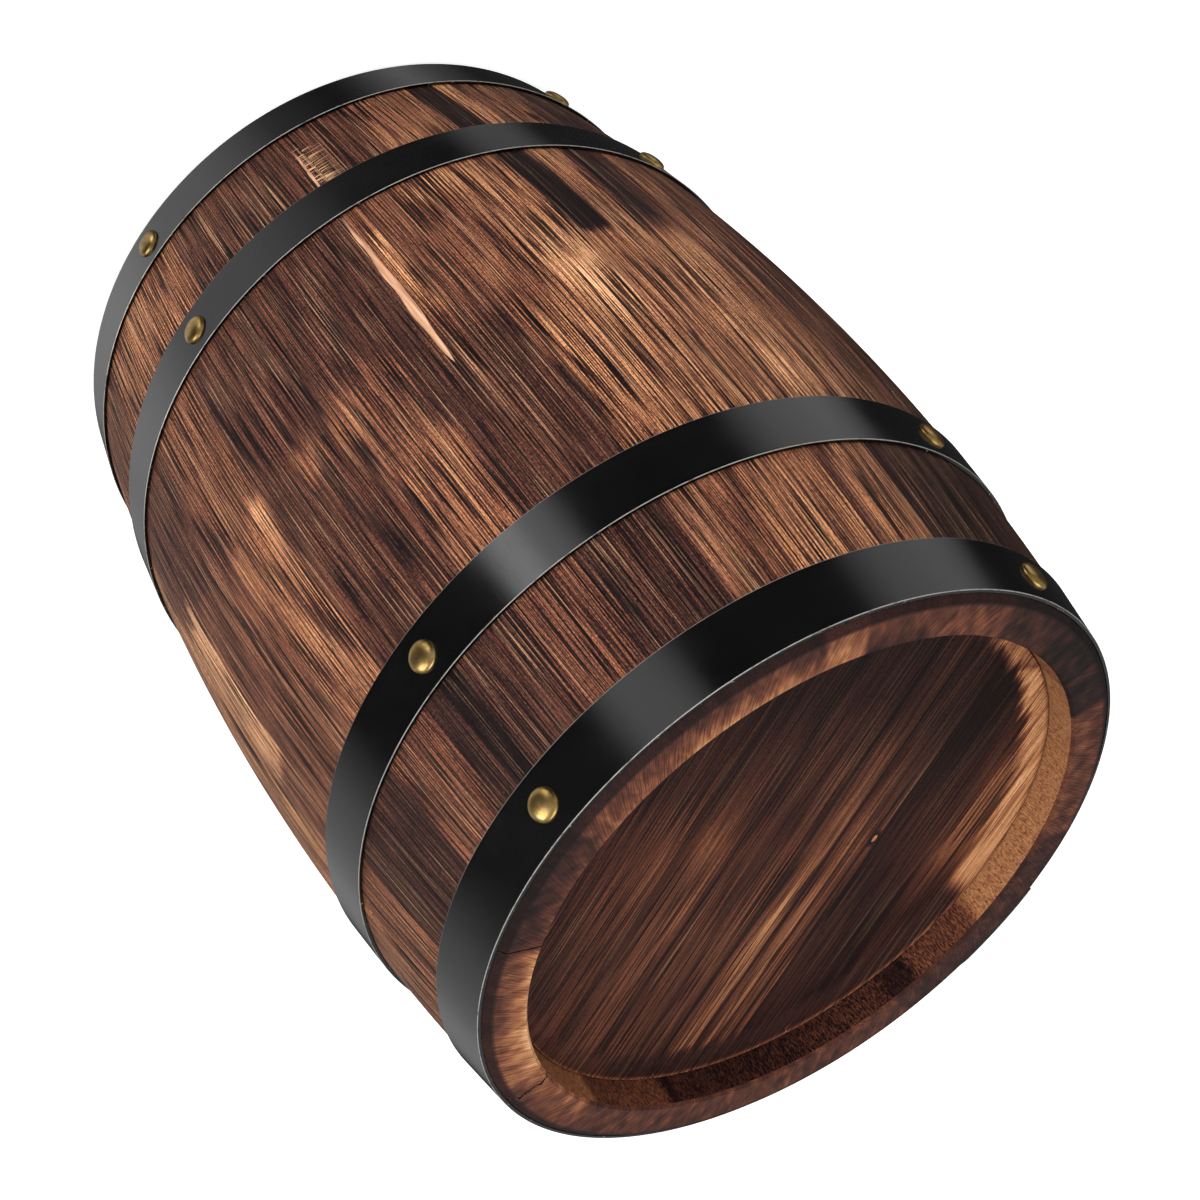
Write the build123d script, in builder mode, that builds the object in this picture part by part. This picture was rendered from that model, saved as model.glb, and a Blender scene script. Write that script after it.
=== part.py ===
from build123d import *
from math import atan2, copysign, cos, degrees, radians, sin, sqrt
import os

os.makedirs("parts", exist_ok=True)

# A coopered oak barrel of about ten litres, in millimetres and degrees.
# It stands on one end with its axis along +Z and its origin on the floor under its centre.

# Shell of staves
barrel_length = 320.0  # over the ends of the staves
bilge_diameter = 258.0  # outside the staves at mid length
end_diameter = 228.0  # outside the staves at both ends
bilge_thickness = 14.0  # of a stave at mid length
rim_thickness = 14.4  # of a stave at its end
rim_chamfer = 1.9  # on the outer edge of a stave's end
recess_draft = 1.0  # how much the wall above a head leans in
first_seam_angle = -5.5  # where the first stave begins, from +X
stave_width_shares = (  # of the full turn, counter-clockwise from the first seam
    18.0, 18.5, 18.0, 15.0, 15.5, 21.0, 18.5, 18.5, 17.5, 17.0,
    17.0, 17.5, 18.5, 18.0, 18.0, 21.4, 16.1, 16.5, 20.0, 19.5,
)

# Heads, turned with a dished outer face and a tongue that sits in the croze of the staves
head_recess = 16.0  # flat of the head below the ends of the staves
head_thickness = 14.0
cove_width = 8.0  # hollow that runs up to the lip
lip_height = 4.5  # of the lip above the flat of the head
tongue_setback = 3.0  # of the tongue behind the flat of the head
tongue_thickness = 7.6
tongue_depth = 4.0
tongue_bevel = 1.2
head_gap = 0.2  # between a head and the staves
board_angle = 32.0  # grain direction of the heads, from +X
board_width_shares = (27.0, 26.0, 23.0)  # of the head past the board that holds the tap hole
dowel_diameter = 6.0
dowel_length = 30.0
dowel_spacing = 112.0  # along a joint between two boards
dowel_gap = 0.1

# Hoops of strip steel, with a riveted lap at the back
hoop_width = 20.0
hoop_thickness = 1.1
hoop_gap = 0.2  # between a hoop and the staves
head_hoop_inset = 1.8  # from the end of the staves to the hoop
quarter_hoop_inset = 63.2
lap_length = 34.0
lap_gap = 0.1  # between the two layers of the lap
joggle_length = 7.0  # where the outer layer climbs over the inner one
rivet_head_diameter = 6.4
rivet_head_height = 1.3
rivet_shank_diameter = 3.2
rivet_inset = 6.0  # from an end of the lap to the rivet next to it
rivet_gap = 0.1

# Domed nails that hold the hoops
nails_per_hoop = 4
first_nail_angle = 22.0
lap_nail = 1  # the nail column that the laps lie under, counted from zero
nail_head_diameter = 10.2
nail_head_height = 2.1
nail_shank_diameter = 2.4
nail_length = 12.0
nail_gap = 0.1

# Bung at the back and tap hole in the bottom head
bung_angle = 90.0  # from +X
bung_diameter = 27.0  # at the outside of the staves
bung_tip_diameter = 24.4
bung_depth = 24.0  # below the outside of the staves
bung_rise = 4.4  # above the outside of the staves
bung_chamfer = 1.4
bung_gap = 0.25
tap_hole_diameter = 19.0
tap_hole_setback = 23.4  # from the edge of the head to the middle of the hole, opposite the bung
tap_hole_wall = 5.0  # from the hole to the joint between the boards beside it

overrun = 5.0  # how far a cut runs past the piece that it cuts

# Worked out from the sizes above
half_length = barrel_length / 2
bilge_radius = bilge_diameter / 2
end_radius = end_diameter / 2
bulge = bilge_radius - end_radius
sweep_radius = (half_length**2 + bulge**2) / (2 * bulge)
rim_outer_radius = end_radius - rim_chamfer
rim_inner_radius = end_radius - rim_thickness
recess_radius = rim_inner_radius - recess_draft
croze_radius = recess_radius + tongue_depth
croze_start = head_recess + tongue_setback
croze_end = croze_start + tongue_thickness + 2 * head_gap
head_radius = recess_radius - head_gap
tongue_radius = croze_radius - head_gap
tap_hole_offset = head_radius - tap_hole_setback
lap_lift = hoop_thickness + lap_gap
rivet_spacing = lap_length - 2 * rivet_inset
nail_angles = [first_nail_angle + 360 * i / nails_per_hoop for i in range(nails_per_hoop)]
lap_angle = nail_angles[lap_nail]
hoop_low_edges = {
    "bottom_head_hoop": head_hoop_inset,
    "bottom_quarter_hoop": quarter_hoop_inset,
    "top_quarter_hoop": barrel_length - quarter_hoop_inset - hoop_width,
    "top_head_hoop": barrel_length - head_hoop_inset - hoop_width,
}


def stave_radius(height):
    # Outside of the staves, a circular arc along the barrel. A negative bulge bows it inwards.
    reach = sqrt(sweep_radius**2 - (height - half_length) ** 2)
    return bilge_radius - sweep_radius + copysign(reach, bulge)


def radial_plane(angle):
    # Half plane through the axis of the barrel: local x is the radius, local y the height.
    return Plane.XZ.rotated((0, 0, angle))


def finish(piece, name):
    piece.part.label = name
    export_step(piece.part, f"parts/{name}.step")


def hoop_section(low_edge, lift):
    # Corners of a hoop's strip, lifted off the staves where the strip overlaps itself.
    high_edge = low_edge + hoop_width
    low_radius = stave_radius(low_edge) + hoop_gap + lift
    high_radius = stave_radius(high_edge) + hoop_gap + lift
    return [
        (low_radius, low_edge),
        (low_radius + hoop_thickness, low_edge),
        (high_radius + hoop_thickness, high_edge),
        (high_radius, high_edge),
    ]


def seat_plane(low_edge, angle, lift=0):
    # Plane that lies on the outside of a hoop at mid width, with its normal pointing outwards.
    corners = hoop_section(low_edge, lift)
    low, high = Vector(*corners[1]), Vector(*corners[2])
    middle = (low + high) / 2
    slope = atan2(low.X - high.X, high.Y - low.Y)
    turn = radians(angle)
    across = Vector(-sin(turn), cos(turn), 0)
    outwards = Vector(cos(slope) * cos(turn), cos(slope) * sin(turn), sin(slope))
    origin = Vector(middle.X * cos(turn), middle.X * sin(turn), middle.Y)
    return Plane(origin, x_dir=across, z_dir=outwards)


def nail_seats(low_edge):
    # One seat for each nail of a hoop. The nail at the lap sits on the upper layer.
    lifts = [lap_lift if i == lap_nail else 0 for i in range(nails_per_hoop)]
    return [seat_plane(low_edge, angle, lift) for angle, lift in zip(nail_angles, lifts)]


def rivet_seats(low_edge):
    # Two seats on the lap of a hoop, one on each side of the nail.
    reach = degrees(rivet_spacing / 2 / stave_radius(low_edge + hoop_width / 2))
    return [seat_plane(low_edge, lap_angle + turn, lap_lift) for turn in (-reach, reach)]


def bung_radius(distance):
    # Radius of the tapered bung at a distance from the axis of the barrel.
    slope = (bung_diameter - bung_tip_diameter) / 2 / bung_depth
    return bung_diameter / 2 + slope * (distance - bilge_radius)


# Frame of the bung: local x runs along the barrel, local y outwards through the bung.
bung_turn = radians(bung_angle)
bung_out = Vector(cos(bung_turn), sin(bung_turn), 0)
bung_plane = Plane((0, 0, half_length), x_dir=(0, 0, 1), z_dir=Vector(0, 0, 1).cross(bung_out))
bung_axis = Axis((0, 0, half_length), tuple(bung_out))

# Staves: one profile with a croze near each end, revolved over the width of each stave.
low_end = [
    (recess_radius, croze_end),
    (croze_radius, croze_end),
    (croze_radius, croze_start),
    (recess_radius, croze_start),
    (rim_inner_radius, 0),
    (rim_outer_radius, 0),
    (stave_radius(rim_chamfer), rim_chamfer),
]
high_end = [(radius, barrel_length - height) for radius, height in reversed(low_end)]
seam_angle = first_seam_angle
for number, share in enumerate(stave_width_shares, start=1):
    width_angle = 360 * share / sum(stave_width_shares)
    holds_bung = seam_angle < bung_angle < seam_angle + width_angle
    with BuildPart() as stave:
        with BuildSketch(radial_plane(seam_angle)):
            with BuildLine():
                Polyline(*low_end)
                ThreePointArc(low_end[-1], (bilge_radius, half_length), high_end[0])
                Polyline(*high_end)
                ThreePointArc(high_end[-1], (bilge_radius - bilge_thickness, half_length), low_end[0])
            make_face()
        revolve(axis=Axis.Z, revolution_arc=width_angle)
        for i, nail_angle in enumerate(nail_angles):
            if (nail_angle - seam_angle) % 360 < width_angle:
                with BuildSketch(*[nail_seats(edge)[i] for edge in hoop_low_edges.values()]):
                    Circle(nail_shank_diameter / 2 + nail_gap)
                extrude(amount=-nail_length - nail_gap, mode=Mode.SUBTRACT)
        if holds_bung:
            inner, outer = bilge_radius - bilge_thickness - overrun, bilge_radius + overrun
            with BuildSketch(bung_plane):
                Polygon(
                    (0, inner),
                    (bung_radius(inner) + bung_gap, inner),
                    (bung_radius(outer) + bung_gap, outer),
                    (0, outer),
                    align=None,
                )
            revolve(axis=bung_axis, mode=Mode.SUBTRACT)
    finish(stave, "bung_stave" if holds_bung else f"stave_{number:02d}")
    seam_angle += width_angle

# Bung: a tapered plug with chamfered ends.
tip, top = bilge_radius - bung_depth, bilge_radius + bung_rise
with BuildPart() as bung:
    with BuildSketch(bung_plane):
        Polygon((0, tip), (bung_radius(tip), tip), (bung_radius(top), top), (0, top), align=None)
    revolve(axis=bung_axis)
    chamfer(bung.edges().filter_by(GeomType.CIRCLE), bung_chamfer)
finish(bung, "bung")

# Heads: a turned disc with a dished face, cut into boards that are dowelled edge to edge.
# In the plane of each end, local x is the radius and local y the depth into the barrel.
head_planes = {
    "bottom": Plane.XZ,
    "top": Plane((0, 0, barrel_length), x_dir=(1, 0, 0), z_dir=(0, 1, 0)),
}
cove_start = (head_radius - cove_width, head_recess)
head_edge = [
    (head_radius, head_recess - lip_height),
    (head_radius, croze_start + head_gap),
    (tongue_radius, croze_start + head_gap + tongue_bevel),
    (tongue_radius, croze_end - head_gap - tongue_bevel),
    (head_radius, croze_end - head_gap),
    (head_radius, head_recess + head_thickness),
]
grain_plane = Plane.XY.rotated((0, 0, board_angle))
tap_turn = radians(bung_angle + 180)
tap_center = (tap_hole_offset * cos(tap_turn), tap_hole_offset * sin(tap_turn))
tap_across = grain_plane.to_local_coords(Vector(*tap_center)).Y
tap_joint = tap_across + tap_hole_diameter / 2 + tap_hole_wall
board_edges = [-tongue_radius, tap_joint]
for share in board_width_shares:
    width = (tongue_radius - tap_joint) * share / sum(board_width_shares)
    board_edges.append(board_edges[-1] + width)
for end, head_plane in head_planes.items():
    dowel_height = head_plane.from_local_coords((0, head_recess + head_thickness / 2)).Z
    joint_planes = [
        Plane(
            grain_plane.from_local_coords((0, edge, dowel_height)),
            x_dir=grain_plane.x_dir,
            z_dir=grain_plane.y_dir,
        )
        for edge in board_edges[1:-1]
    ]
    for number, (near, far) in enumerate(zip(board_edges, board_edges[1:]), start=1):
        with BuildPart() as board:
            with BuildSketch(head_plane):
                with BuildLine():
                    Polyline(
                        *head_edge, (0, head_recess + head_thickness), (0, head_recess), cove_start
                    )
                    TangentArc(cove_start, head_edge[0], tangent=(1, 0))
                make_face()
            revolve(axis=Axis.Z)
            with BuildSketch(grain_plane):
                with Locations((0, (near + far) / 2)):
                    Rectangle(2 * tongue_radius + overrun, far - near)
            extrude(amount=barrel_length, mode=Mode.INTERSECT)
            with BuildSketch(*joint_planes[max(number - 2, 0) : number]):
                with GridLocations(dowel_spacing, 0, 2, 1):
                    Circle(dowel_diameter / 2 + dowel_gap)
            extrude(amount=dowel_length / 2 + dowel_gap, both=True, mode=Mode.SUBTRACT)
            if end == "bottom" and near < tap_across < far:
                with BuildSketch(Plane.XY):
                    with Locations(tap_center):
                        Circle(tap_hole_diameter / 2)
                extrude(amount=half_length, mode=Mode.SUBTRACT)
        finish(board, f"{end}_head_board_{number}")
    with BuildPart() as dowels:
        with BuildSketch(*joint_planes):
            with GridLocations(dowel_spacing, 0, 2, 1):
                Circle(dowel_diameter / 2)
        extrude(amount=dowel_length / 2, both=True)
    finish(dowels, f"{end}_head_dowels")

# Hoops: a conical strip once round the barrel, whose outer end climbs over its inner end.
for hoop_name, low_edge in hoop_low_edges.items():
    middle_radius = stave_radius(low_edge + hoop_width / 2)
    lap_turn = degrees(lap_length / middle_radius)
    joggle_turn = degrees(joggle_length / middle_radius)
    inner_end_angle = lap_angle - lap_turn / 2
    with BuildPart() as hoop:
        with BuildSketch(radial_plane(inner_end_angle)):
            Polygon(*hoop_section(low_edge, 0), align=None)
        revolve(axis=Axis.Z, revolution_arc=360 - joggle_turn)
        with BuildSketch(radial_plane(inner_end_angle - joggle_turn)):
            Polygon(*hoop_section(low_edge, 0), align=None)
        with BuildSketch(radial_plane(inner_end_angle)):
            Polygon(*hoop_section(low_edge, lap_lift), align=None)
        loft(ruled=True)
        with BuildSketch(radial_plane(inner_end_angle)):
            Polygon(*hoop_section(low_edge, lap_lift), align=None)
        revolve(axis=Axis.Z, revolution_arc=lap_turn)
        with BuildSketch(*nail_seats(low_edge)):
            Circle(nail_shank_diameter / 2 + nail_gap)
        extrude(amount=overrun, both=True, mode=Mode.SUBTRACT)
        with BuildSketch(*rivet_seats(low_edge)):
            Circle(rivet_shank_diameter / 2 + rivet_gap)
        extrude(amount=overrun, both=True, mode=Mode.SUBTRACT)
    finish(hoop, hoop_name)


def round_head(seat, diameter, height):
    # Half section of a spherical cap that stands on a seat.
    with BuildSketch(Plane(seat.origin, x_dir=seat.x_dir, z_dir=seat.x_dir.cross(seat.z_dir))) as section:
        with BuildLine():
            Polyline((0, height), (0, 0), (diameter / 2, 0))
            TangentArc((0, height), (diameter / 2, 0), tangent=(1, 0))
        make_face()
    return section.sketch


# Nails: a domed head on the hoop and a shank through the hoop into the stave.
for hoop_name, low_edge in hoop_low_edges.items():
    with BuildPart() as nails:
        for seat in nail_seats(low_edge):
            revolve(
                round_head(seat, nail_head_diameter, nail_head_height), axis=Axis(seat.origin, seat.z_dir)
            )
        with BuildSketch(*nail_seats(low_edge)):
            Circle(nail_shank_diameter / 2)
        extrude(amount=-nail_length)
    finish(nails, f"{hoop_name}_nails")

# Rivets that close the laps: a low head outside, the shank flush with the inside of the strip.
with BuildPart() as rivets:
    for low_edge in hoop_low_edges.values():
        for seat in rivet_seats(low_edge):
            revolve(
                round_head(seat, rivet_head_diameter, rivet_head_height), axis=Axis(seat.origin, seat.z_dir)
            )
        with BuildSketch(*rivet_seats(low_edge)):
            Circle(rivet_shank_diameter / 2)
        extrude(amount=-hoop_thickness - lap_lift)
finish(rivets, "lap_rivets")
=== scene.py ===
import random
from math import asin, atan2, cos, degrees, hypot, pi, radians, sin, sqrt

import bpy
from mathutils import Matrix, Quaternion, Vector, noise


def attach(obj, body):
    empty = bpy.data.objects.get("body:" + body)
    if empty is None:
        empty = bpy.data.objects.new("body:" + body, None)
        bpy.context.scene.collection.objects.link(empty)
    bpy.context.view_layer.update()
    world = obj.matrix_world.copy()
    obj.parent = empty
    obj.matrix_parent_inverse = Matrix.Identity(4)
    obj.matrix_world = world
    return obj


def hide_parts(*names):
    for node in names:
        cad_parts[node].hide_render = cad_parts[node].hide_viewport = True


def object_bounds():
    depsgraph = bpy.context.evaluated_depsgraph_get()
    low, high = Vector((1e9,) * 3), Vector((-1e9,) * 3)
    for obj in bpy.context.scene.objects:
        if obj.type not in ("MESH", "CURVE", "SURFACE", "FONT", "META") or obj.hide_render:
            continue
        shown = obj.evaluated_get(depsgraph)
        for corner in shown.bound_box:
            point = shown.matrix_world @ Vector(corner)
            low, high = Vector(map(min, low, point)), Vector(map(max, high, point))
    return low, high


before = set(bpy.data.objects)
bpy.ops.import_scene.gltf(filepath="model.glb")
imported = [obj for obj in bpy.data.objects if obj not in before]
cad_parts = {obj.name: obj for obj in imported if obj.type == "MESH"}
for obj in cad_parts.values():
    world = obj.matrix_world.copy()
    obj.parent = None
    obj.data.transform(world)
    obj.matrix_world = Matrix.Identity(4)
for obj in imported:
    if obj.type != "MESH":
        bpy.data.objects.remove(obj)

cadBox = [list(corner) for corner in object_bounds()]
bpy.ops.object.select_all(action="DESELECT")
bpy.context.scene.view_settings.view_transform = "Standard"
print("frame loaded:", len(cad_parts), "nodes")

# the shell, in metres and degrees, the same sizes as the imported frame
barrel = {
    "length": cadBox[1][2] - cadBox[0][2],
    "bilgeRadius": 0.129,
    "endRadius": 0.114,
    "bilgeThickness": 0.014,
    "rimThickness": 0.0144,
    "rimChamfer": 0.0019,
    "recessDraft": 0.001,  # how much the wall above a head leans in
    "crozeDepth": 0.004,
    "crozeStart": 0.019,  # below the end of the staves
    "crozeEnd": 0.027,
    "cornerWidth": 0.0008,  # worn inner corner of the rim
    "cornerDrop": 0.0012,
    "cornerLean": 0.0001,
}
mergeGap = 0.000002  # metres
roundSteps = 72  # round the bung and the bores


def staveRadius(height):
    half = barrel["length"] / 2
    bulge = barrel["bilgeRadius"] - barrel["endRadius"]
    sweep = (half**2 + bulge**2) / (2 * bulge)
    return barrel["bilgeRadius"] - sweep + sqrt(sweep**2 - (height - half) ** 2)


# modelling helpers
def choose(piece):
    bpy.ops.object.select_all(action="DESELECT")
    piece.select_set(True)
    bpy.context.view_layer.objects.active = piece


def editAll(piece):
    choose(piece)
    bpy.ops.object.mode_set(mode="EDIT")
    bpy.ops.mesh.select_all(action="SELECT")


def leaveEdit():
    bpy.ops.object.mode_set(mode="OBJECT")


def drawSection(name, points, filled=True):  # points are (radius, height), drawn in the XZ plane
    bpy.ops.object.select_all(action="DESELECT")
    bpy.ops.mesh.primitive_plane_add(size=0.01, location=(0, 0, 0))
    section = bpy.context.object
    section.name = name
    bpy.ops.object.mode_set(mode="EDIT")
    bpy.ops.mesh.merge(type="CENTER")
    bpy.ops.transform.translate(value=(points[0][0], 0, points[0][1]))
    for start, end in zip(points, points[1:]):
        step = (end[0] - start[0], 0, end[1] - start[1])
        bpy.ops.mesh.extrude_region_move(TRANSFORM_OT_translate={"value": step})
    if filled:
        bpy.ops.mesh.select_all(action="SELECT")
        bpy.ops.mesh.edge_face_add()
    leaveEdit()
    return section


def spinSection(section, startAngle, turn, steps):  # with no window, turn and spin go the other way
    editAll(section)
    bpy.ops.transform.rotate(value=-radians(startAngle), orient_axis="Z", center_override=(0, 0, 0))
    bpy.ops.mesh.spin(steps=steps, angle=-radians(turn), center=(0, 0, 0), axis=(0, 0, 1))
    leaveEdit()


def tidyNormals(piece, merge=True):
    editAll(piece)
    if merge:
        bpy.ops.mesh.remove_doubles(threshold=mergeGap)
    bpy.ops.mesh.normals_make_consistent(inside=False)
    leaveEdit()


def copyPiece(piece, name):
    twin = piece.copy()
    twin.data = piece.data.copy()
    twin.name = name
    bpy.context.collection.objects.link(twin)
    return twin


def joinPieces(pieces, name):
    choose(pieces[0])
    for piece in pieces:
        piece.select_set(True)
    bpy.ops.object.join()
    joined = bpy.context.object
    joined.name = name
    return joined


def bevelEdges(piece, test, offset, segments):  # bevels the edges whose two ends pass the test
    mesh = piece.data
    bpy.context.tool_settings.mesh_select_mode = (False, True, False)
    for parts in (mesh.polygons, mesh.edges, mesh.vertices):
        parts.foreach_set("select", [False] * len(parts))
    for edge in mesh.edges:
        edge.select = test(*(mesh.vertices[i].co for i in edge.vertices))
    choose(piece)
    bpy.ops.object.mode_set(mode="EDIT")
    bpy.ops.mesh.bevel(offset=offset, segments=segments, affect="EDGES")
    leaveEdit()
    bpy.context.tool_settings.mesh_select_mode = (True, False, False)


def cutAway(piece, cutter):  # the cut faces take the cutter's finish
    choose(piece)
    cut = piece.modifiers.new("cut", "BOOLEAN")
    cut.operation = "DIFFERENCE"
    cut.solver = "EXACT"
    cut.object = cutter
    cut.material_mode = "TRANSFER"
    bpy.ops.object.modifier_apply(modifier=cut.name)
    bpy.data.objects.remove(cutter)


def smoothPiece(piece, angle):
    choose(piece)
    bpy.ops.object.shade_smooth_by_angle(angle=radians(angle))


def setField(mesh, name, kind, values):
    field = mesh.attributes.new(name, kind, "POINT")
    field.data.foreach_set("vector" if kind == "FLOAT_VECTOR" else "value", values)


def fade(value, low, high, soft):  # 1 between low and high, 0 outside, with soft edges
    rise = min(max((value - low) / soft + 0.5, 0.0), 1.0)
    fall = min(max((high - value) / soft + 0.5, 0.0), 1.0)
    return rise * rise * (3 - 2 * rise) * fall * fall * (3 - 2 * fall)


# shader helpers
def tint(code):  # hex colour to linear light
    parts = [int(code[i : i + 2], 16) / 255 for i in (0, 2, 4)]
    return tuple(p / 12.92 if p <= 0.04045 else ((p + 0.055) / 1.055) ** 2.4 for p in parts) + (1.0,)


def plug(value, socket):  # a plain value or another node's output
    if isinstance(value, bpy.types.NodeSocket):
        socket.id_data.links.new(value, socket)
    else:
        socket.default_value = value


def addNode(kind, values, sockets=range(5), **settings):  # in the tree of the first linked value
    tree = next(value.id_data for value in values if isinstance(value, bpy.types.NodeSocket))
    node = tree.nodes.new("ShaderNode" + kind)
    for name, setting in settings.items():
        setattr(node, name, setting)
    for socket, value in zip(sockets, values):
        plug(value, node.inputs[socket])
    return node


def mathNode(operation, *values, clamp=False):
    return addNode("Math", values, operation=operation, use_clamp=clamp).outputs[0]


def plus(first, second):
    return mathNode("ADD", first, second)


def minus(first, second):
    return mathNode("SUBTRACT", first, second)


def times(first, second):
    return mathNode("MULTIPLY", first, second)


def remap(value, fromLow, fromHigh, toLow=0.0, toHigh=1.0):
    return addNode("MapRange", (value, fromLow, fromHigh, toLow, toHigh)).outputs[0]


def mixTint(factor, first, second):
    return addNode("Mix", (factor, first, second), (0, 6, 7), data_type="RGBA").outputs[2]


def ramp(factor, stops):
    node = addNode("ValToRGB", (factor,))
    elements = node.color_ramp.elements
    while len(elements) < len(stops):
        elements.new(0.5)
    for element, (place, colour) in zip(elements, stops):
        element.position = place
        element.color = colour
    return node.outputs[0]


def noiseField(coord, stretch, detail=2.0, rough=0.5):  # stretch is features per metre on each axis
    scaled = addNode("VectorMath", (coord, stretch), operation="MULTIPLY").outputs[0]
    names = ("Vector", "Scale", "Detail", "Roughness")
    return addNode("TexNoise", (scaled, 1.0, detail, rough), names).outputs[0]


def splitAxes(coord):
    return addNode("SeparateXYZ", (coord,)).outputs


def joinAxes(x, y, z):
    return addNode("CombineXYZ", (x, y, z)).outputs[0]


def fieldNode(tree, name, output):
    node = tree.nodes.new("ShaderNodeAttribute")
    node.attribute_name = name
    return node.outputs[output]


def objectCoord(tree):
    return tree.nodes.new("ShaderNodeTexCoord").outputs["Object"]


def newGroup(name, inputs, outputs):
    group = bpy.data.node_groups.new(name, "ShaderNodeTree")
    for label, kind in inputs:
        group.interface.new_socket(label, in_out="INPUT", socket_type="NodeSocket" + kind)
    for label, kind in outputs:
        group.interface.new_socket(label, in_out="OUTPUT", socket_type="NodeSocket" + kind)
    return group, group.nodes.new("NodeGroupInput").outputs, group.nodes.new("NodeGroupOutput").inputs


def placeGroup(tree, group, **values):
    node = tree.nodes.new("ShaderNodeGroup")
    node.node_tree = group
    for label, value in values.items():
        plug(value, node.inputs[label])
    return node.outputs


def newMaterial(name):
    material = bpy.data.materials.new(name)
    material.use_nodes = True
    tree = material.node_tree
    return material, tree, tree.nodes["Principled BSDF"]


def addBump(shader, height, strength, distance):
    bump = addNode("Bump", (height, strength, distance), ("Height", "Strength", "Distance"))
    plug(bump.outputs[0], shader.inputs["Normal"])


def dress(shader, colour, rough, metal=0.0):
    plug(colour, shader.inputs["Base Color"])
    plug(rough, shader.inputs["Roughness"])
    plug(metal, shader.inputs["Metallic"])


# charred and wire-brushed wood: the third axis of the coordinate runs along the grain
charTints = [
    (0.0, "0c0707"), (0.15, "1f1110"), (0.3, "391f19"), (0.45, "563023"),
    (0.6, "784831"), (0.75, "9a6643"), (0.88, "b98458"), (1.0, "d6a67c"),
]
grainSet = {
    "patch": (55.0, 55.0, 12.0),  # features per metre: cloudy patches of char
    "streak": (600.0, 600.0, 9.0),
    "line": (2300.0, 2300.0, 18.0),
    "finer": (2120.0, 2120.0, 27.0),  # a second set of lines between the first
    "hair": (3000.0, 3000.0, 14.0),
    "cluster": (190.0, 190.0, 14.0),  # where the hairlines gather
    "pore": (2800.0, 2800.0, 420.0),
    "speck": (3400.0, 3400.0, 1100.0),
    "hairTint": "c99a72",
}


def makeCharGroup():
    inputs = [("Coord", "Vector"), ("Tone", "Float"), ("Contrast", "Float"), ("Hairlines", "Float")]
    inputs.append(("Pores", "Float"))
    outputs = [("Colour", "Color"), ("Roughness", "Float"), ("Height", "Float")]
    group, given, result = newGroup("charredGrain", inputs, outputs)
    coord, tone, contrast, hairlines, pores = (given[label] for label, kind in inputs)
    patch = noiseField(coord, grainSet["patch"], 3.0, 0.6)
    streak = noiseField(coord, grainSet["streak"])
    cluster = noiseField(coord, grainSet["cluster"])
    line, finer, hair, pore, speck = (
        noiseField(coord, grainSet[key], 1.0) for key in ("line", "finer", "hair", "pore", "speck")
    )
    line = mathNode("MINIMUM", line, finer)
    swing = remap(patch, 0.2, 0.8, -0.08, 0.06)
    swing = plus(swing, remap(streak, 0.2, 0.8, -0.035, 0.035))
    depth = remap(tone, 0.1, 0.55, 0.12, 0.74)  # the brushed grain stands out more on pale wood
    groove = remap(line, 0.378, 0.452, -1.0, 0.03)  # thin dark grooves between wider ridges
    ridge = plus(groove, remap(line, 0.452, 0.533, 0.0, 0.6))
    swing = plus(swing, times(ridge, depth))
    swing = plus(swing, remap(speck, 0.2, 0.8, -0.26, 0.26))
    gathered = remap(cluster, 0.35, 0.6, 0.15, 1.0)
    bright = times(remap(hair, 0.61, 0.65), gathered)
    bright = times(bright, hairlines)
    dark = times(remap(pore, 0.41, 0.31), pores)
    swing = minus(times(swing, contrast), dark)
    shade = mathNode("ADD", tone, swing, clamp=True)
    colour = ramp(shade, [(place, tint(code)) for place, code in charTints])
    bright = times(bright, remap(shade, 0.0, 0.45, 0.25, 1.0))
    plug(mixTint(bright, colour, tint(grainSet["hairTint"])), result["Colour"])
    plug(remap(line, 0.2, 0.8, 0.7, 0.5), result["Roughness"])
    relief = plus(line, minus(bright, dark))
    plug(relief, result["Height"])
    return group


charGroup = makeCharGroup()


def woodMaterial(name, coordFrom, toneFrom, contrast, hairlines, pores, sheen=0.12):
    material, tree, shader = newMaterial(name)
    if callable(contrast):
        contrast = contrast(tree)
    settings = {"Contrast": contrast, "Hairlines": hairlines, "Pores": pores}
    wood = placeGroup(tree, charGroup, Coord=coordFrom(tree), Tone=toneFrom(tree), **settings)
    dress(shader, wood["Colour"], wood["Roughness"])
    shader.inputs["Specular IOR Level"].default_value = sheen
    addBump(shader, wood["Height"], 0.3, 0.0002)
    return material


def alongStave(tree):
    return fieldNode(tree, "grain", "Vector")


def acrossRim(tree):  # end grain with slanting saw marks
    across, depth, along = splitAxes(alongStave(tree))
    slant = plus(depth, times(across, 0.7))
    cross = minus(across, times(depth, 0.7))
    return joinAxes(cross, along, times(slant, 3.0))


def shortPores(tree):
    across, depth, along = splitAxes(alongStave(tree))
    return joinAxes(across, depth, times(along, 1.6))


def toneField(name):
    return lambda tree: fieldNode(tree, name, "Fac")


def sawMarks(tree):  # the darker part of the wall is rougher
    return remap(fieldNode(tree, "wallTone", "Fac"), 0.3, 0.55, 0.62, 0.16)


staveFace = woodMaterial(
    "brushedStave", alongStave, toneField("tone"), contrast=1.0, hairlines=0.7, pores=0.36
)
staveEnd = woodMaterial(
    "staveEndGrain", acrossRim, toneField("rimTone"), contrast=0.17, hairlines=0.05, pores=0.1
)
chimeWall = woodMaterial(
    "chimeWall", shortPores, toneField("wallTone"), contrast=sawMarks, hairlines=0.0, pores=0.42
)


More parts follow.
